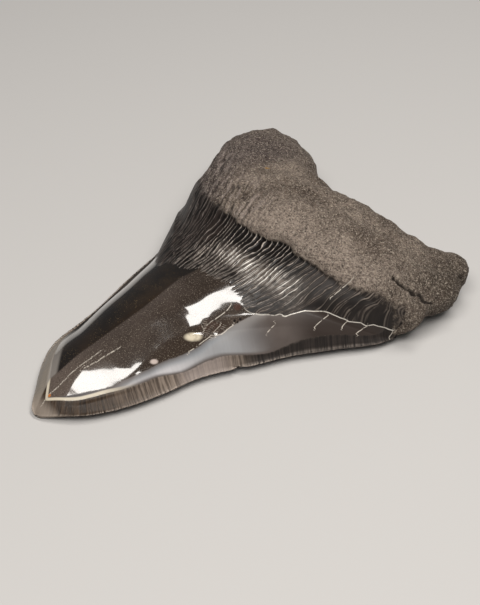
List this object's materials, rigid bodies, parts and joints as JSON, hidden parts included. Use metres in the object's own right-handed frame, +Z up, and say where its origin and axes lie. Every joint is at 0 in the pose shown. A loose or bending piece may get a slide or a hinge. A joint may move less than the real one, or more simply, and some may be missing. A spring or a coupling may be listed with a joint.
{
  "type": "fossil megalodon tooth",
  "caption": "Fossil shark tooth lying on its flat face: a convex triangular crown with saw-toothed cutting edges, a ridged neck and a rough two-lobed root.",
  "frame": {"origin": "centre of the tooth's box in plan, on the surface that the tooth lies on", "axes": "+Y from the tip towards the root along the length, +X across to the broken lobe, +Z up out of the convex face"},
  "size_m": [0.094, 0.1186, 0.0263],
  "materials": {
    "fossil": "satin"
  },
  "bodies": {
    "root": {"tooth": "fossil"}
  },
  "joints": []
}
